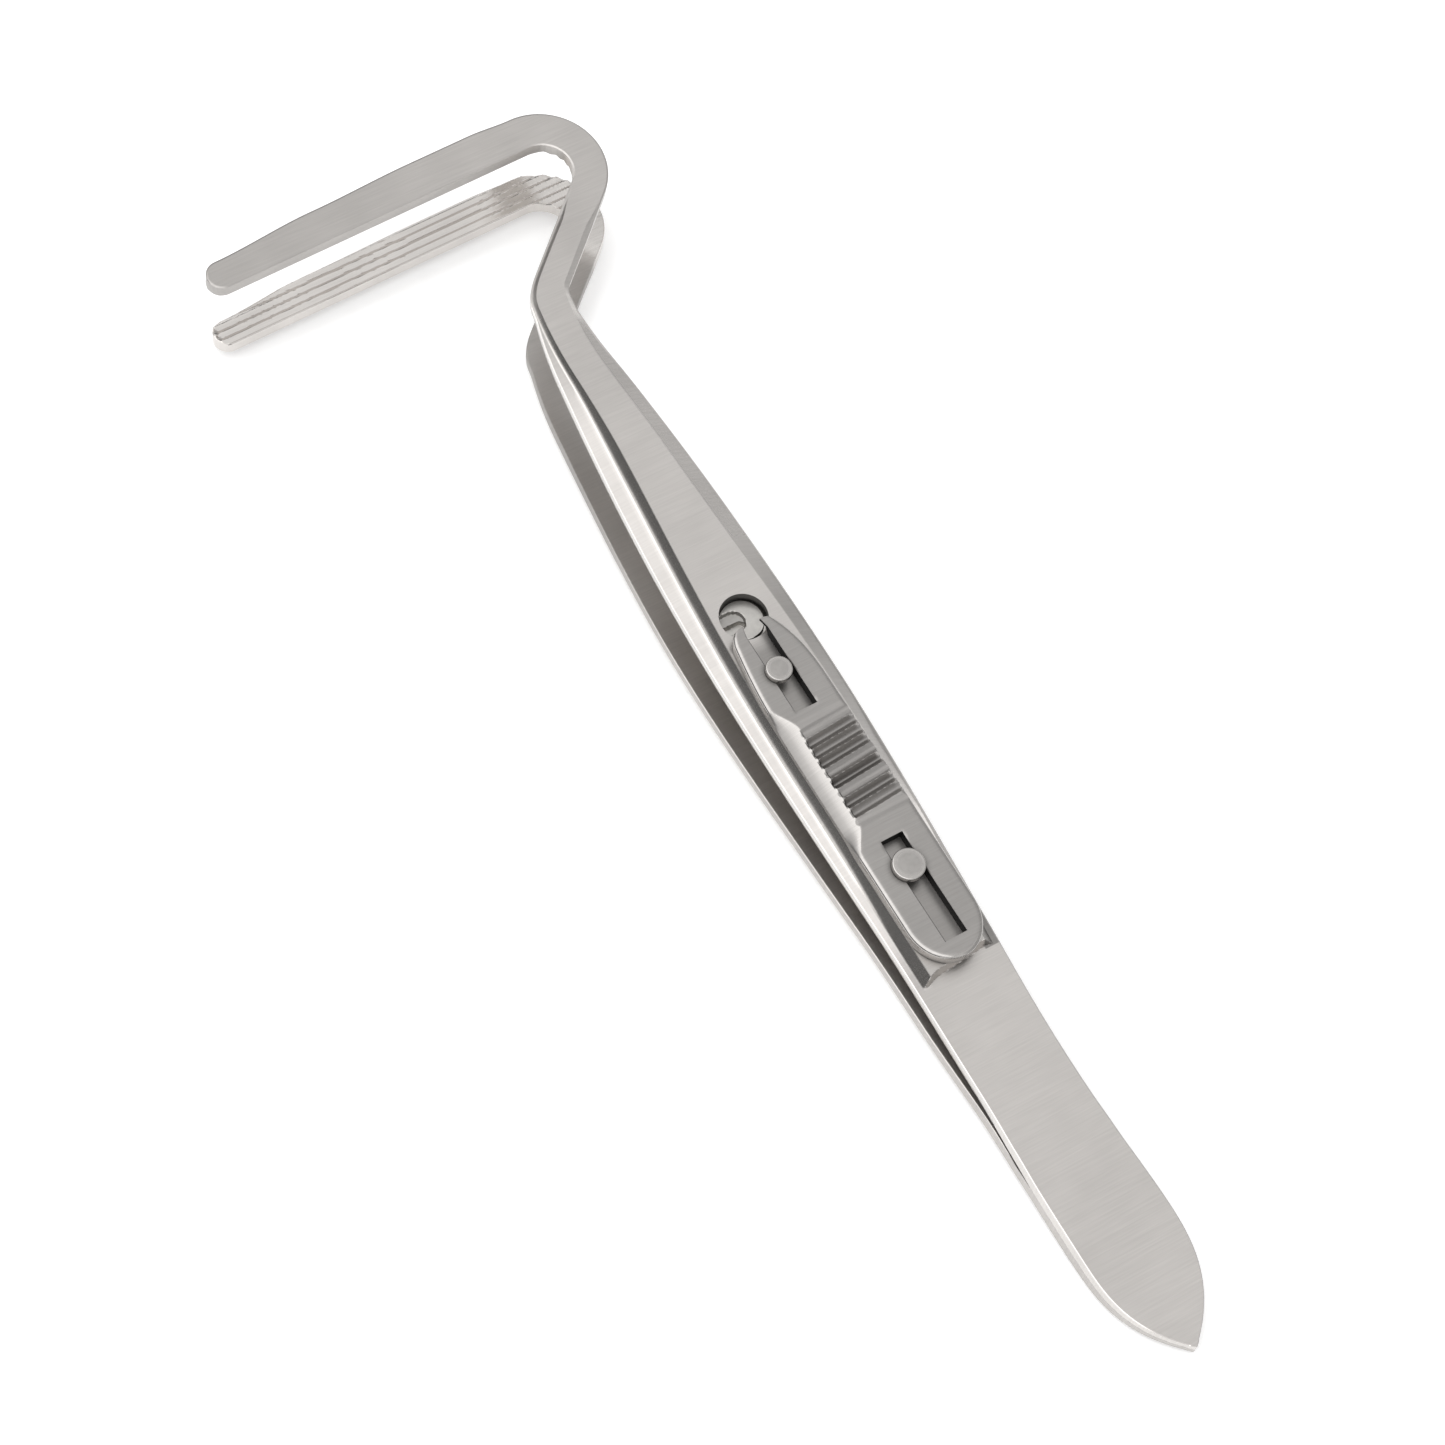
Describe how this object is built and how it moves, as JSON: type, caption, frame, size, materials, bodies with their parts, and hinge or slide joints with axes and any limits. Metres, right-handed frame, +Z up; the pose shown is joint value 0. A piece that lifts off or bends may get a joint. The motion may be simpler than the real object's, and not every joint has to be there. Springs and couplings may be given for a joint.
{
  "type": "slide-lock clamp forceps",
  "caption": "Sprung steel clamp forceps with hooked side-facing serrated jaws, a leaf-shaped tail and a ridged sliding catch that locks the squeezed arms.",
  "frame": {"origin": "centre of the footprint, on the surface that the lower arm's flat rib rests on", "axes": "+X from the tail leaf to the hook, +Y the side that the jaws point to, +Z up from the lower arm to the slide plate"},
  "size_m": [0.1064, 0.0322, 0.0111],
  "materials": {
    "arm_steel": "satin brushed, bright polished edges",
    "slide_steel": "satin brushed",
    "pin_steel": "turned, satin"
  },
  "bodies": {
    "tail": {"upper_tail_leaf": "arm_steel", "lower_tail_leaf": "arm_steel"},
    "upper": {"upper_arm": "arm_steel", "front_guide_rivet": "pin_steel", "rear_guide_rivet": "pin_steel"},
    "lower": {"lower_arm": "arm_steel", "latch_post": "pin_steel"},
    "slide": {"slide_plate": "slide_steel"}
  },
  "joints": [
    {"name": "upper_arm_squeeze", "type": "hinge", "parent": "tail", "child": "upper", "pos_m": [-0.03568, -0.00548, 0.00175], "axis": [0, 1, 0], "range_deg": [0, 2.44], "stiffness_Nm_per_rad": 3},
    {"name": "lower_arm_squeeze", "type": "hinge", "parent": "tail", "child": "lower", "pos_m": [-0.03568, -0.00548, 0.00175], "axis": [0, 1, 0], "range_deg": [-2.44, 0], "stiffness_Nm_per_rad": 3},
    {"name": "slide_lock", "type": "slide", "parent": "upper", "child": "slide", "axis": [0.9952, 0, 0.0976], "range_m": [-0.0002, 0.0025]}
  ],
  "couplings": [
    {"joint": "lower_arm_squeeze", "follows": "upper_arm_squeeze", "ratio": -1}
  ]
}
